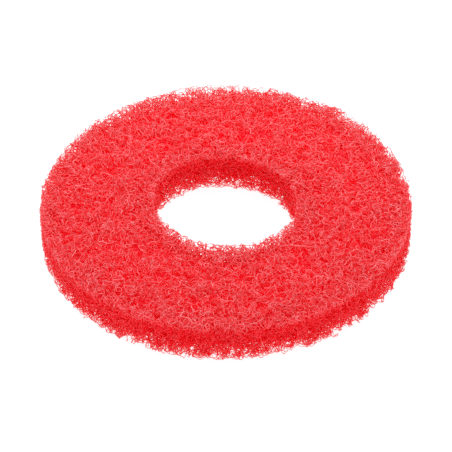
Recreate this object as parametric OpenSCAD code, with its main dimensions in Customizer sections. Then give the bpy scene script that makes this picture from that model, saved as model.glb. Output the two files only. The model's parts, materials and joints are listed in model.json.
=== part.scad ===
// Round floor pad: one die-cut ring of lofty, resin-bonded fibre web, with a centre hole.
// It lies flat on its lower face. The origin is at the middle of that face, and +Z is up.

/* [Pad] */
// Outside diameter of the pad, a nominal 9 inch size
pad_d = 229; // [150:1:530]
// Thickness of the web between its two flat faces
pad_t = 26.5; // [12:0.5:40]

/* [Centre hole] */
// Diameter of the hole that clears the machine's centre lock
hole_d = 89; // [60:1:120]

/* [Die-cut edges] */
// Radius to which the two outside edges are softened
rim_edge_r = 1.5; // [0.5:0.25:5]
// Radius to which the two edges of the centre hole are softened
hole_edge_r = 1.5; // [0.5:0.25:5]

/* [Hidden] */
rim_r = pad_d / 2;
hole_r = hole_d / 2;
round_fn = 96;
web_red = [0.88, 0.08, 0.1];

// Half of the ring's section: a rectangle from r_in to r_out, with its two outer corners rounded to edge_r.
module rounded_band(r_in, r_out, edge_r) {
    translate([r_in, 0])
        square([r_out - r_in - edge_r, pad_t]);
    translate([r_in, edge_r])
        square([r_out - r_in, pad_t - 2 * edge_r]);
    for (z = [edge_r, pad_t - edge_r])
        translate([r_out - edge_r, z])
            circle(r = edge_r, $fn = round_fn);
}

// The bonded web, cut to a ring. It is one piece: fibre, resin and abrasive can't be taken apart.
module fibre_web() {
    mid_r = (hole_r + rim_r) / 2;
    color(web_red)
        rotate_extrude($fn = round_fn * 2)
            union() {
                rounded_band(mid_r, rim_r, rim_edge_r);
                translate([2 * mid_r, 0])
                    mirror([1, 0])
                        rounded_band(mid_r, 2 * mid_r - hole_r, hole_edge_r);
            }
}

fibre_web();
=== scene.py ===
"""Builds the looks of a round floor pad, a ring of crimped and resin-bonded fibre, around its CAD ring."""

import json
import math

import bmesh
import bpy
import numpy as np
from bpy.props import (
    FloatProperty,
    FloatVectorProperty,
    IntProperty,
    PointerProperty,
)
from mathutils import Matrix, Vector, noise


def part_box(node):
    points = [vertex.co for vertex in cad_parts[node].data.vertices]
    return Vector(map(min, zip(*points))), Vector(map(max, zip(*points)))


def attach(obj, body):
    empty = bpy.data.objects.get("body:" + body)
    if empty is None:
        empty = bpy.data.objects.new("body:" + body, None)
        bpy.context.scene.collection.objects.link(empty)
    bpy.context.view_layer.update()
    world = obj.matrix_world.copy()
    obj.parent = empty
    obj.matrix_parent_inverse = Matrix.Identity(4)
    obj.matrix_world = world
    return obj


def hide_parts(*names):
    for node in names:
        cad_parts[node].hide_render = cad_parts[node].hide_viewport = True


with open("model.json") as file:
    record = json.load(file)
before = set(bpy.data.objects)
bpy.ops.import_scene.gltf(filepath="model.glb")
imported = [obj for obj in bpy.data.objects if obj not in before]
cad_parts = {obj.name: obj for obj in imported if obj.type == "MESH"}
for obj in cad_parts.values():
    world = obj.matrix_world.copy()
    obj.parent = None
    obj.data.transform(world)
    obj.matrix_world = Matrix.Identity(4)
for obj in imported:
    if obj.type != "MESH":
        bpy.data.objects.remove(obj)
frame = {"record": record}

bl_info = {
    "name": "Fibre floor pad",
    "version": (1, 0, 0),
    "blender": (4, 5, 0),
    "location": "View3D > Sidebar > Floor Pad",
    "description": "Builds a round floor pad of crimped, resin-bonded fibre",
    "category": "Add Mesh",
}

MM_PER_M = 1000
FULL_TURN = 2 * math.pi

WEB_NODE = "fibre_web"
WEB_BODY = "root"
LOW_CORNER, HIGH_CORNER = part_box(WEB_NODE)
PAD_RADIUS = HIGH_CORNER[0]
PAD_THICKNESS = HIGH_CORNER[2] - LOW_CORNER[2]
CENTRE_HOLE = next(m for m in frame["record"]["mounts"] if m["name"] == "centre_hole")
HOLE_RADIUS = CENTRE_HOLE["dims"]["r_mm"] / MM_PER_M

# How one fibre is made.
FIBRE_SIDES = 3
FIBRE_LINKS = 18
TUBE_FACE_CORNERS = 4  # the end caps have FIBRE_SIDES
LINK_LENGTH_SPREAD = (0.85, 1.15)
FIBRE_THICKNESS_SPREAD = (0.8, 1.2)
LINK_THICKNESS_SPREAD = (0.85, 1.15)
CRIMP_MEMORY = 0.72  # share of its bend that a fibre keeps from link to link
LAY_OF_STARTS = (1.0, 1.0, 0.8)  # fibres start a little flatter than evenly all round
TURN_BACK = 1.3  # above 1, a fibre that meets a wall turns back from it
CELL_MARGIN = 0.08  # rim of each fibre's cell in the bake map, as a share of the cell
TINY = 1e-9

# How the core's surface is made, in metres.
CORE_GRAIN = 0.001
CORE_CORNER_SEGMENTS = 12
CORE_MERGE_DISTANCE = CORE_GRAIN / 50
PIT_SPACING = 0.0026
SWELL_SPACING = 4 * PIT_SPACING
PIT_MIDDLE = 0.75
SWELL_SHARE = 0.5


# ---------------------------------------------------------------- settings


class FLOORPAD_PG_web(bpy.types.PropertyGroup):
    """Sizes and colours of the fibre web."""

    seed: IntProperty(name="Seed", description="Start of the random draws", default=11, min=0)
    fibre_width: FloatProperty(
        name="Fibre width",
        description="Diameter of one resin-coated fibre",
        default=0.00045, unit="LENGTH", precision=5,
    )
    fibre_length: FloatProperty(
        name="Fibre length",
        description="Length of one fibre along its crimps",
        default=0.0225, unit="LENGTH", precision=4,
    )
    fibre_packing: FloatProperty(
        name="Fibre packing",
        description="Millimetres of fibre in each cubic millimetre of web",
        default=1.0,
    )
    crimp_radius: FloatProperty(
        name="Crimp radius",
        description="Typical radius of a fibre's curls",
        default=0.0019, unit="LENGTH", precision=4,
    )
    edge_radius: FloatProperty(
        name="Edge radius",
        description="Rounding of the die-cut edges",
        default=0.0012, unit="LENGTH", precision=4,
    )
    face_depth: FloatProperty(
        name="Open depth at the faces",
        description="Depth of separate fibres over the core's flat faces",
        default=0.0032, unit="LENGTH", precision=4,
    )
    wall_depth: FloatProperty(
        name="Open depth at the walls",
        description="Depth of separate fibres outside the core at the rim and the hole",
        default=0.0055, unit="LENGTH", precision=4,
    )
    core_corner: FloatProperty(
        name="Core corner",
        description="Rounding of the core's section, which keeps it well below the cut edges",
        default=0.008, unit="LENGTH", precision=4,
    )
    core_relief: FloatProperty(
        name="Core relief",
        description="Depth of the pits in the core's surface",
        default=0.0008, unit="LENGTH", precision=4,
    )
    fuzz: FloatProperty(
        name="Fuzz",
        description="How far fibres stand proud of the rim and of the upper face",
        default=0.0018, unit="LENGTH", precision=4,
    )
    hole_fuzz: FloatProperty(
        name="Hole fuzz",
        description="How far fibres reach into the hole past its cut wall",
        default=0.0023, unit="LENGTH", precision=4,
    )
    hole_offset: FloatVectorProperty(
        name="Hole offset",
        description="How far the hole has settled off the pad's centre",
        subtype="XYZ_LENGTH", size=2, default=(-0.0006, 0.0),
    )
    hole_oval: FloatProperty(
        name="Hole oval",
        description="How much the hole's long radius has grown, and its short one shrunk",
        default=0.0018, unit="LENGTH", precision=4,
    )
    hole_oval_turn: FloatProperty(
        name="Hole oval turn",
        description="Direction of the hole's long radius",
        default=math.radians(-26), subtype="ANGLE",
    )
    fibre_colour: FloatVectorProperty(
        name="Fibre colour",
        description="Lighter end of the fibres' range of reds",
        subtype="COLOR", size=3, default=(0.999, 0.0155, 0.032),
    )
    deep_colour: FloatVectorProperty(
        name="Deep colour",
        description="Deeper end of the fibres' range of reds",
        subtype="COLOR", size=3, default=(0.999, 0.0042, 0.016),
    )
    # Partly abrasive dust in the resin, partly a painted highlight that stands in for the pink glints of
    # light on the fibres.
    pale_dust_and_highlight_colour: FloatVectorProperty(
        name="Pale colour",
        description="Dusty red where abrasive shows in the resin",
        subtype="COLOR", size=3, default=(0.955, 0.262, 0.282),
    )
    # Depth below both flat faces over which the pale colour fades: partly abrasive dust, partly painted light
    # that makes the faces paler than the walls.
    dust_and_light_depth: FloatProperty(
        name="Spray depth",
        description="How far below the flat faces the pale abrasive dusting reaches",
        default=0.005, unit="LENGTH", precision=4,
    )
    # Paleness left deep in the web and on the cut walls: partly abrasive dust, partly painted shade where
    # less light reaches.
    inner_dust_and_light_share: FloatProperty(
        name="Inner dusting",
        description="Share of the dusting that is left deep in the web and on the cut walls",
        default=0.09, subtype="FACTOR", min=0, max=1,
    )
    packed_colour: FloatVectorProperty(
        name="Packed colour",
        description="Deeper red of the packed core, which lets red light through",
        subtype="COLOR", size=3, default=(0.999, 0.005, 0.013),
    )


class FLOORPAD_PG_studio(bpy.types.PropertyGroup):
    """Camera, floor and lights."""

    lens: FloatProperty(
        name="Lens",
        description="Focal length of the camera",
        default=171.1, unit="CAMERA",
    )
    elevation: FloatProperty(
        name="Elevation",
        description="Angle of the camera above the floor",
        default=math.radians(41.5), subtype="ANGLE",
    )
    roll: FloatProperty(
        name="Roll",
        description="Turn of the camera about its view",
        default=math.radians(0.8), subtype="ANGLE",
    )
    distance: FloatProperty(
        name="Distance",
        description="Distance from the camera to its target",
        default=1.353, unit="LENGTH",
    )
    target: FloatVectorProperty(
        name="Target",
        description="Point in the middle of the view",
        subtype="XYZ", size=3, default=(0.0, 0.0052, 0.0),
    )
    floor_size: FloatProperty(
        name="Floor size",
        description="Side of the square floor",
        default=6.0, unit="LENGTH",
    )
    floor_colour: FloatVectorProperty(
        name="Floor colour",
        description="Colour of the floor",
        subtype="COLOR", size=3, default=(0.25, 0.25, 0.25),
    )
    floor_glow: FloatProperty(
        name="Floor glow",
        description="Light that the floor gives, as a light table does",
        default=0.89,
    )
    sky_strength: FloatProperty(
        name="Sky strength",
        description="Even light from all round",
        default=0.85,
    )
    lamp_power: FloatProperty(
        name="Lamp power",
        description="Power of the soft lamp behind the pad",
        default=1.88, unit="POWER",
    )
    lamp_size: FloatProperty(
        name="Lamp size",
        description="Side of the soft lamp behind the pad",
        default=0.5, unit="LENGTH",
    )
    lamp_place: FloatVectorProperty(
        name="Lamp place",
        description="Middle of the soft lamp, which points at the pad",
        subtype="XYZ", size=3, default=(0.0, 0.35, 0.55),
    )


# ---------------------------------------------------------------- the web's section


class RingSection:
    """A ring with a rounded rectangular section, which tells how far points are from its surface."""

    def __init__(self, inner, outer, low, high, corner):
        self.mid_radius = (inner + outer) / 2
        self.mid_height = (low + high) / 2
        self.half_width = (outer - inner) / 2
        self.half_height = (high - low) / 2
        self.corner = corner

    def overhang(self, points):
        """How far points are past the section's straight stretches, across and up, and their radius."""
        radius = np.hypot(points[:, 0], points[:, 1])
        across = np.abs(radius - self.mid_radius) - (self.half_width - self.corner)
        up = np.abs(points[:, 2] - self.mid_height) - (self.half_height - self.corner)
        return across, up, radius

    def distance(self, points):
        """Distance of points from the surface, negative inside, and the direction straight out of it."""
        across, up, radius = self.overhang(points)
        past_wall = np.maximum(across, 0)
        past_face = np.maximum(up, 0)
        reach = np.hypot(past_wall, past_face)
        distance = reach + np.minimum(np.maximum(across, up), 0) - self.corner
        level = np.where(reach > 0, past_wall / np.maximum(reach, TINY), across > up)
        upright = np.where(reach > 0, past_face / np.maximum(reach, TINY), across <= up)
        level = level * np.sign(radius - self.mid_radius) / radius
        upright = upright * np.sign(points[:, 2] - self.mid_height)
        return distance, np.stack([level * points[:, 0], level * points[:, 1], upright], axis=1)


def outline_section(web):
    """The pad's full outline with its fuzz, which is flat below where the pad lies on the floor."""
    return RingSection(
        HOLE_RADIUS - web.hole_fuzz, PAD_RADIUS + web.fuzz, 0, PAD_THICKNESS + web.fuzz, web.edge_radius
    )


def core_section(web):
    """The dense core, below the separate fibres."""
    return RingSection(
        HOLE_RADIUS + web.wall_depth,
        PAD_RADIUS - web.wall_depth,
        web.face_depth,
        PAD_THICKNESS - web.face_depth,
        web.core_corner,
    )


def as_cut(web, points):
    """Points moved as the web settles once it is cut: the hole slightly oval and off centre, the rim true."""
    radius = np.hypot(points[..., 0], points[..., 1])
    angle = np.arctan2(points[..., 1], points[..., 0])
    share = np.clip((PAD_RADIUS - radius) / (PAD_RADIUS - HOLE_RADIUS), 0, 1)
    stretch = share * web.hole_oval * np.cos(2 * (angle - web.hole_oval_turn)) / radius
    moved = points.copy()
    for axis in (0, 1):
        moved[..., axis] += stretch * points[..., axis] + share * web.hole_offset[axis]
    return moved


# ---------------------------------------------------------------- fibres

UPPER, LOWER, RIM, HOLE = range(4)


def side_of(core, points):
    """The side of the core that each point lies over."""
    across, up, radius = core.overhang(points)
    face = np.where(points[:, 2] > core.mid_height, UPPER, LOWER)
    wall = np.where(radius > core.mid_radius, RIM, HOLE)
    return np.where(up > across, face, wall)


def fibre_starts(rng, web, side, share):
    """Points spread evenly through the open web on one side of the core, one for each fibre."""
    outline, core = outline_section(web), core_section(web)
    ring_volume = math.pi * (PAD_RADIUS**2 - HOLE_RADIUS**2) * PAD_THICKNESS
    fibres_per_volume = web.fibre_packing * MM_PER_M**2 / web.fibre_length
    count = int(ring_volume * fibres_per_volume * share)
    radius = np.sqrt(rng.uniform((HOLE_RADIUS - web.hole_fuzz) ** 2, PAD_RADIUS**2, count))
    angle = rng.uniform(0, FULL_TURN, count)
    height = rng.uniform(0, PAD_THICKNESS, count)
    points = np.stack([radius * np.cos(angle), radius * np.sin(angle), height], axis=1)
    inside = (outline.distance(points)[0] < 0) & (core.distance(points)[0] > 0)
    return points[inside & (side_of(core, points) == side)]


def unit(vectors):
    return vectors / np.linalg.norm(vectors, axis=1, keepdims=True)


def turned_back(heading, wall, met):
    """Turns the headings that have met a wall and still run into it back along the wall."""
    into = np.sum(heading * wall, axis=1)
    return unit(heading - (TURN_BACK * np.maximum(into, 0) * met)[:, None] * wall)


def crimped_routes(rng, web, starts, thickness):
    """Curly routes, one from each start, through the open web between the core and the outline."""
    outline, core = outline_section(web), core_section(web)
    count = len(starts)
    step = (web.fibre_length / FIBRE_LINKS) * rng.uniform(*LINK_LENGTH_SPREAD, (count, 1))
    heading = unit(rng.normal(size=(count, 3)) * np.array(LAY_OF_STARTS))
    bend = rng.normal(size=(count, 3)) / web.crimp_radius
    fresh_bend = math.sqrt(1 - CRIMP_MEMORY**2)
    clearance = thickness * web.fibre_width / 2
    here = starts.copy()
    routes = np.empty((count, FIBRE_LINKS + 1, 3))
    for link in range(FIBRE_LINKS + 1):
        outside, away = outline.distance(here)
        here = here - away * np.maximum(outside, 0)[:, None]
        here[:, 2] = np.maximum(here[:, 2], clearance[:, link])
        routes[:, link] = here
        bend = CRIMP_MEMORY * bend + fresh_bend * rng.normal(size=(count, 3)) / web.crimp_radius
        heading = unit(heading + step * np.cross(bend, heading))
        heading = turned_back(heading, away, outside > -web.fuzz)
        buried, off_core = core.distance(here)
        heading = turned_back(heading, -off_core, buried < 0)
        here = here + step * heading
    return routes


def triangle_profile(width):
    """A three-sided closed curve, as the cross-section of a fibre."""
    curve = bpy.data.curves.new("fibre_profile", "CURVE")
    spline = curve.splines.new("POLY")
    spline.points.add(FIBRE_SIDES - 1)
    for corner, point in enumerate(spline.points):
        angle = -FULL_TURN * corner / FIBRE_SIDES
        point.co = (width / 2 * math.cos(angle), width / 2 * math.sin(angle), 0, 1)
    spline.use_cyclic_u = True
    profile = bpy.data.objects.new("fibre_profile", curve)
    bpy.context.collection.objects.link(profile)
    return profile


def fibre_mesh(name, routes, thickness, width):
    """One mesh of closed thin tubes along the routes."""
    profile = triangle_profile(width)
    curve = bpy.data.curves.new(name, "CURVE")
    curve.dimensions = "3D"
    curve.bevel_mode = "OBJECT"
    curve.bevel_object = profile
    weights = np.ones((routes.shape[1], 1))
    for route, radii in zip(routes, thickness):
        spline = curve.splines.new("POLY")
        spline.points.add(len(route) - 1)
        spline.points.foreach_set("co", np.hstack([route, weights]).ravel())
        spline.points.foreach_set("radius", radii)
    carrier = bpy.data.objects.new(name, curve)
    bpy.context.collection.objects.link(carrier)
    depsgraph = bpy.context.evaluated_depsgraph_get()
    mesh = bpy.data.meshes.new_from_object(carrier.evaluated_get(depsgraph))
    mesh.name = name
    for helper in (carrier, profile):
        data = helper.data
        bpy.data.objects.remove(helper)
        bpy.data.curves.remove(data)
    bm = bmesh.new()
    bm.from_mesh(mesh)
    open_ends = [edge for edge in bm.edges if edge.is_boundary]
    bmesh.ops.holes_fill(bm, edges=open_ends, sides=FIBRE_SIDES)
    bmesh.ops.recalc_face_normals(bm, faces=bm.faces)
    bm.to_mesh(mesh)
    bm.free()
    mesh.shade_flat()
    return mesh


def mark_fibres(mesh, count, tints):
    """Gives each fibre its own tint, and its own cell in the bake map."""
    per_fibre = len(mesh.vertices) // count
    if per_fibre * count != len(mesh.vertices) or per_fibre != FIBRE_SIDES * (FIBRE_LINKS + 1):
        raise RuntimeError(f"{mesh.name}: {len(mesh.vertices)} vertices don't make {count} equal fibres")
    tint = mesh.attributes.new("tint", "FLOAT", "POINT")
    tint.data.foreach_set("value", np.repeat(tints, per_fibre).astype(np.float32))

    corner_vertex = np.empty(len(mesh.loops), dtype=np.int64)
    mesh.loops.foreach_get("vertex_index", corner_vertex)
    fibre, place = np.divmod(corner_vertex, per_fibre)
    along, around = np.divmod(place, FIBRE_SIDES)
    starts = np.empty(len(mesh.polygons), dtype=np.int64)
    sizes = np.empty(len(mesh.polygons), dtype=np.int64)
    mesh.polygons.foreach_get("loop_start", starts)
    mesh.polygons.foreach_get("loop_total", sizes)
    face = np.repeat(np.arange(len(sizes)), sizes)
    around_high = np.maximum.reduceat(around, starts)[face]
    closes = (around == 0) & (around_high == FIBRE_SIDES - 1) & (sizes[face] == TUBE_FACE_CORNERS)
    around = np.where(closes, FIBRE_SIDES, around)
    cells = math.ceil(math.sqrt(count))
    filled = 1 - 2 * CELL_MARGIN
    u = (fibre % cells + CELL_MARGIN + filled * along / FIBRE_LINKS) / cells
    v = (fibre // cells + CELL_MARGIN + filled * around / FIBRE_SIDES) / cells
    for old in list(mesh.uv_layers):
        mesh.uv_layers.remove(old)
    layer = mesh.uv_layers.new(name="OFBake")
    layer.uv.foreach_set("vector", np.stack([u, v], axis=1).astype(np.float32).ravel())


def add_fibres(web, name, side, share, pieces, seed):
    """Adds the fibres of one side of the pad, in pieces that are sectors of the ring."""
    rng = np.random.default_rng(web.seed + seed)
    starts = fibre_starts(rng, web, side, share)
    thickness = rng.uniform(*FIBRE_THICKNESS_SPREAD, (len(starts), 1)) * rng.uniform(
        *LINK_THICKNESS_SPREAD, (len(starts), FIBRE_LINKS + 1)
    )
    routes = as_cut(web, crimped_routes(rng, web, starts, thickness))
    tints = rng.uniform(0, 1, len(starts))
    turns = np.arctan2(starts[:, 1], starts[:, 0]) / FULL_TURN
    sector = np.floor(turns * pieces).astype(int) % pieces
    for number in range(pieces):
        mine = sector == number
        title = f"{name}_{number + 1}"
        mesh = fibre_mesh(title, routes[mine], thickness[mine], web.fibre_width)
        mark_fibres(mesh, int(mine.sum()), tints[mine])
        mesh.materials.append(fibre_material(web))
        keep_piece(title, mesh)


# ---------------------------------------------------------------- core


def core_mesh(web):
    """The dense middle of the web: a ring with a well-rounded section and a pitted surface."""
    section = core_section(web)
    bm = bmesh.new()
    corners = [
        bm.verts.new((
            section.mid_radius + x * section.half_width, 0, section.mid_height + z * section.half_height
        ))
        for x, z in ((-1, -1), (1, -1), (1, 1), (-1, 1))
    ]
    for start, end in zip(corners, corners[1:] + corners[:1]):
        bm.edges.new((start, end))
    bmesh.ops.bevel(
        bm, geom=corners, offset=section.corner, offset_type="OFFSET", affect="VERTICES",
        segments=CORE_CORNER_SEGMENTS, profile=0.5, material=-1,
    )
    for edge in [e for e in bm.edges if e.calc_length() > 2 * CORE_GRAIN]:
        bmesh.ops.subdivide_edges(bm, edges=[edge], cuts=round(edge.calc_length() / CORE_GRAIN) - 1)
    bmesh.ops.spin(
        bm, geom=bm.verts[:] + bm.edges[:], cent=(0, 0, 0), axis=(0, 0, 1), dvec=(0, 0, 0), angle=FULL_TURN,
        steps=round(FULL_TURN * section.mid_radius / CORE_GRAIN), use_merge=True, use_duplicate=False,
    )
    bmesh.ops.remove_doubles(bm, verts=bm.verts, dist=CORE_MERGE_DISTANCE)
    bmesh.ops.recalc_face_normals(bm, faces=bm.faces)
    bm.normal_update()
    for vert in bm.verts:
        near = noise.voronoi(vert.co / PIT_SPACING)[0][0]
        swell = noise.noise(vert.co / SWELL_SPACING)
        vert.co += vert.normal * web.core_relief * (near - PIT_MIDDLE + SWELL_SHARE * swell)
    mesh = bpy.data.meshes.new("web_core")
    bm.to_mesh(mesh)
    bm.free()
    places = np.empty(3 * len(mesh.vertices), dtype=np.float32)
    mesh.vertices.foreach_get("co", places)
    mesh.vertices.foreach_set("co", as_cut(web, places.reshape(-1, 3)).ravel())
    mesh.shade_smooth()
    return mesh


# ---------------------------------------------------------------- materials

# The sockets of a Mix node that is set to colours.
MIX_FACTOR, MIX_FIRST, MIX_SECOND, MIX_RESULT = 0, 6, 7, 2


def new_node(tree, kind, **values):
    """Adds a node, with each value set on its property of that name, or else on its input."""
    node = tree.nodes.new(kind)
    for name, value in values.items():
        if hasattr(node, name):
            setattr(node, name, value)
        else:
            node.inputs[name.replace("_", " ")].default_value = value
    return node


def mottle_group():
    """Patchy resin: cloudy patches and small specks of abrasive, both from 0 to 1."""
    name = "Resin mottle"
    if name in bpy.data.node_groups:
        return bpy.data.node_groups[name]
    tree = bpy.data.node_groups.new(name, "ShaderNodeTree")
    for title in ("Patch scale", "Speck scale"):
        tree.interface.new_socket(title, in_out="INPUT", socket_type="NodeSocketFloat")
    for title in ("Patches", "Specks"):
        tree.interface.new_socket(title, in_out="OUTPUT", socket_type="NodeSocketFloat")
    source = tree.nodes.new("NodeGroupInput")
    result = tree.nodes.new("NodeGroupOutput")
    place = tree.nodes.new("ShaderNodeTexCoord")
    patches = new_node(tree, "ShaderNodeTexNoise", Detail=3.0, Roughness=0.6)
    spread = new_node(tree, "ShaderNodeMapRange", From_Min=0.32, From_Max=0.68)
    specks = new_node(tree, "ShaderNodeTexNoise", Detail=1.0, Roughness=0.5)
    sharpen = new_node(tree, "ShaderNodeMapRange", From_Min=0.52, From_Max=0.72)
    link = tree.links.new
    for scale, texture, contrast, output in (
        ("Patch scale", patches, spread, "Patches"),
        ("Speck scale", specks, sharpen, "Specks"),
    ):
        link(place.outputs["Object"], texture.inputs["Vector"])
        link(source.outputs[scale], texture.inputs["Scale"])
        link(texture.outputs["Fac"], contrast.inputs["Value"])
        link(contrast.outputs["Result"], result.inputs[output])
    return tree


def add_mottle(tree, patch_scale, speck_scale):
    """Places the resin mottle in a material, with the material's own scales."""
    mottle = tree.nodes.new("ShaderNodeGroup")
    mottle.node_tree = mottle_group()
    mottle.inputs["Patch scale"].default_value = patch_scale
    mottle.inputs["Speck scale"].default_value = speck_scale
    return mottle


def new_material(name, roughness, specular):
    """A material with a Principled shader, and its node tree."""
    material = bpy.data.materials.new(name)
    material.use_nodes = True
    tree = material.node_tree
    shader = tree.nodes["Principled BSDF"]
    shader.inputs["Roughness"].default_value = roughness
    shader.inputs["Specular IOR Level"].default_value = specular
    return material, tree, shader


def colour_mix(tree, first, second, factor):
    """Mixes two colours, each a socket or a value, by a socket."""
    mix = tree.nodes.new("ShaderNodeMix")
    mix.data_type = "RGBA"
    for socket, colour in ((mix.inputs[MIX_FIRST], first), (mix.inputs[MIX_SECOND], second)):
        if isinstance(colour, bpy.types.NodeSocket):
            tree.links.new(colour, socket)
        else:
            socket.default_value = (*colour, 1)
    tree.links.new(factor, mix.inputs[MIX_FACTOR])
    return mix.outputs[MIX_RESULT]


def add_bump(tree, shader, height, strength, depth):
    """Roughens a shader's surface by a height socket."""
    bump = new_node(tree, "ShaderNodeBump", Strength=strength, Distance=depth)
    tree.links.new(height, bump.inputs["Height"])
    tree.links.new(bump.outputs["Normal"], shader.inputs["Normal"])


def nearness_to_faces(tree, web):
    """A socket that is 1 at the flat faces, which the abrasive is sprayed on from, and low deep inside:
    partly abrasive dust, partly painted light on the faces and painted shade deep in the web and on the cut
    walls.
    """
    place = tree.nodes.new("ShaderNodeTexCoord")
    axes = tree.nodes.new("ShaderNodeSeparateXYZ")
    from_middle = new_node(tree, "ShaderNodeMath", operation="SUBTRACT")
    from_middle.inputs[1].default_value = PAD_THICKNESS / 2
    either_way = new_node(tree, "ShaderNodeMath", operation="ABSOLUTE")
    # Paler at the faces as painted light, darker towards mid height as painted shade, together with the
    # abrasive dust.
    fade = new_node(
        tree, "ShaderNodeMapRange", From_Min=PAD_THICKNESS / 2 - web.dust_and_light_depth,
        From_Max=PAD_THICKNESS / 2, To_Min=web.inner_dust_and_light_share, To_Max=1.0,
    )
    tree.links.new(place.outputs["Object"], axes.inputs["Vector"])
    tree.links.new(axes.outputs["Z"], from_middle.inputs[0])
    tree.links.new(from_middle.outputs[0], either_way.inputs[0])
    tree.links.new(either_way.outputs[0], fade.inputs["Value"])
    return fade.outputs["Result"]


def fibre_material(web):
    """Red resin-coated fibre: each has its own tint, with pale patches near the faces and fine specks. The
    pale patches are partly abrasive dust and partly painted highlight, paler at the faces as painted light
    and darker deeper in as painted shade.
    """
    name = "resin_coated_fibre"
    if name in bpy.data.materials:
        return bpy.data.materials[name]
    material, tree, shader = new_material(name, roughness=0.3, specular=0.42)
    mottle = add_mottle(tree, patch_scale=420, speck_scale=2600)
    tint = new_node(tree, "ShaderNodeAttribute", attribute_name="tint")
    body = colour_mix(tree, web.deep_colour, web.fibre_colour, tint.outputs["Fac"])
    # Pale patches: abrasive dust with painted highlight, stronger at the faces as painted light and weaker
    # deep in the web as painted shade.
    dust_and_painted_light = new_node(tree, "ShaderNodeMath", operation="MULTIPLY")
    tree.links.new(mottle.outputs["Patches"], dust_and_painted_light.inputs[0])
    tree.links.new(nearness_to_faces(tree, web), dust_and_painted_light.inputs[1])
    dust_and_light_base = colour_mix(tree, body, web.pale_dust_and_highlight_colour, dust_and_painted_light.outputs[0])
    tree.links.new(dust_and_light_base, shader.inputs["Base Color"])
    add_bump(tree, shader, mottle.outputs["Specks"], strength=0.35, depth=0.0001)
    return material


def core_material(web):
    """Red of the packed fibres below the surface, which red light gets through and other light doesn't."""
    material, tree, shader = new_material("packed_web", roughness=0.8, specular=0.15)
    shader.inputs["Subsurface Weight"].default_value = 1.0
    shader.inputs["Subsurface Radius"].default_value = (0.015, 0.0004, 0.0005)
    shader.inputs["Subsurface Scale"].default_value = 1.0
    mottle = add_mottle(tree, patch_scale=700, speck_scale=1500)
    body = colour_mix(tree, web.packed_colour, web.fibre_colour, mottle.outputs["Patches"])
    tree.links.new(body, shader.inputs["Base Color"])
    add_bump(tree, shader, mottle.outputs["Specks"], strength=0.8, depth=0.0004)
    return material


# ---------------------------------------------------------------- pieces


def keep_piece(name, mesh):
    """Puts a finished mesh in the scene as a piece of the pad."""
    piece = bpy.data.objects.new(name, mesh)
    bpy.context.collection.objects.link(piece)
    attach(piece, WEB_BODY)
    return piece


class FLOORPAD_OT_web_core(bpy.types.Operator):
    """Builds the dense core that the separate fibres lie over"""

    bl_idname = "floorpad.web_core"
    bl_label = "Web core"

    def execute(self, context):
        web = context.scene.floorpad_web
        mesh = core_mesh(web)
        mesh.materials.append(core_material(web))
        core = keep_piece("web_core", mesh)
        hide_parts(WEB_NODE)
        return {"FINISHED"}


class FLOORPAD_OT_face_fibres(bpy.types.Operator):
    """Builds the separate fibres of the two flat faces"""

    bl_idname = "floorpad.face_fibres"
    bl_label = "Face fibres"

    def execute(self, context):
        web = context.scene.floorpad_web
        add_fibres(web, "upper_face_fibres", UPPER, share=1.0, pieces=4, seed=1)
        add_fibres(web, "lower_face_fibres", LOWER, share=0.65, pieces=3, seed=2)
        return {"FINISHED"}


class FLOORPAD_OT_wall_fibres(bpy.types.Operator):
    """Builds the separate fibres of the cut walls, round the rim and in the hole"""

    bl_idname = "floorpad.wall_fibres"
    bl_label = "Wall fibres"

    def execute(self, context):
        web = context.scene.floorpad_web
        add_fibres(web, "rim_fibres", RIM, share=1.15, pieces=4, seed=3)
        add_fibres(web, "hole_fibres", HOLE, share=1.0, pieces=2, seed=4)
        return {"FINISHED"}


# ---------------------------------------------------------------- studio


def add_floor(studio, scene):
    """A plain pale floor that gives light of its own."""
    bm = bmesh.new()
    bmesh.ops.create_grid(bm, x_segments=1, y_segments=1, size=studio.floor_size / 2)
    mesh = bpy.data.meshes.new("floor")
    bm.to_mesh(mesh)
    bm.free()
    material, tree, shader = new_material("studio_floor", roughness=0.9, specular=0.1)
    shader.inputs["Base Color"].default_value = (*studio.floor_colour, 1)
    shader.inputs["Emission Color"].default_value = (1, 1, 1, 1)
    shader.inputs["Emission Strength"].default_value = studio.floor_glow
    mesh.materials.append(material)
    floor = bpy.data.objects.new("floor", mesh)
    scene.collection.objects.link(floor)


def add_lights(studio, scene):
    """Even white light from all round, and a large soft lamp."""
    world = bpy.data.worlds.new("soft_sky")
    world.use_nodes = True
    sky = world.node_tree.nodes["Background"]
    sky.inputs["Color"].default_value = (1, 1, 1, 1)
    sky.inputs["Strength"].default_value = studio.sky_strength
    scene.world = world

    data = bpy.data.lights.new("soft_lamp", "AREA")
    data.shape = "SQUARE"
    data.size = studio.lamp_size
    data.energy = studio.lamp_power
    lamp = bpy.data.objects.new("soft_lamp", data)
    lamp.location = studio.lamp_place
    lamp.rotation_euler = Vector(studio.lamp_place).to_track_quat("Z", "Y").to_euler()
    scene.collection.objects.link(lamp)


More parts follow.
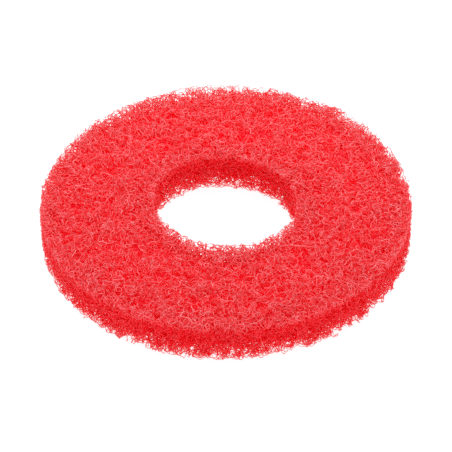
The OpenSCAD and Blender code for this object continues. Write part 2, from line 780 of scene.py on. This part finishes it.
def add_camera(studio, scene):
    """The camera in front of the pad, looking down at it."""
    forward = Vector((0, math.cos(studio.elevation), -math.sin(studio.elevation)))
    right = Vector((1, 0, 0))
    up = right.cross(forward)
    turn = Matrix((right, up, -forward)).transposed() @ Matrix.Rotation(-studio.roll, 3, "Z")
    data = bpy.data.cameras.new("camera")
    data.lens = studio.lens
    data.clip_start = 0.05
    data.clip_end = 20
    camera = bpy.data.objects.new("camera", data)
    place = Vector(studio.target) - forward * studio.distance
    camera.matrix_world = Matrix.Translation(place) @ turn.to_4x4()
    scene.collection.objects.link(camera)
    scene.camera = camera


class FLOORPAD_OT_studio(bpy.types.Operator):
    """Sets up the pale floor, the soft light and the camera"""

    bl_idname = "floorpad.studio"
    bl_label = "Studio"

    def execute(self, context):
        scene = context.scene
        add_floor(scene.floorpad_studio, scene)
        add_lights(scene.floorpad_studio, scene)
        add_camera(scene.floorpad_studio, scene)
        scene.view_settings.view_transform = "Standard"
        # The denoiser would take the fine tangle for noise and smear it.
        scene.cycles.use_denoising = False
        # Light crosses many fibres before it leaves the web, which is what keeps its shadows red.
        scene.cycles.max_bounces = 32
        scene.cycles.diffuse_bounces = 24
        return {"FINISHED"}


# ---------------------------------------------------------------- panel and main


class FLOORPAD_PT_panel(bpy.types.Panel):
    """Settings and steps of the floor pad"""

    bl_idname = "FLOORPAD_PT_panel"
    bl_label = "Floor Pad"
    bl_space_type = "VIEW_3D"
    bl_region_type = "UI"
    bl_category = "Floor Pad"

    def draw(self, context):
        layout = self.layout
        for settings in (context.scene.floorpad_web, context.scene.floorpad_studio):
            box = layout.box()
            for name in settings.__annotations__:
                box.prop(settings, name)
        for operator in STEPS:
            layout.operator(operator.bl_idname)


STEPS = (FLOORPAD_OT_web_core, FLOORPAD_OT_face_fibres, FLOORPAD_OT_wall_fibres, FLOORPAD_OT_studio)
CLASSES = (FLOORPAD_PG_web, FLOORPAD_PG_studio, *STEPS, FLOORPAD_PT_panel)


def register():
    for cls in CLASSES:
        bpy.utils.register_class(cls)
    bpy.types.Scene.floorpad_web = PointerProperty(type=FLOORPAD_PG_web)
    bpy.types.Scene.floorpad_studio = PointerProperty(type=FLOORPAD_PG_studio)


def unregister():
    del bpy.types.Scene.floorpad_studio
    del bpy.types.Scene.floorpad_web
    for cls in reversed(CLASSES):
        bpy.utils.unregister_class(cls)


def main():
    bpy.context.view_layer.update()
    register()
    bpy.ops.floorpad.web_core()
    bpy.ops.floorpad.face_fibres()
    bpy.ops.floorpad.wall_fibres()
    bpy.ops.floorpad.studio()


if __name__ == "__main__":
    main()
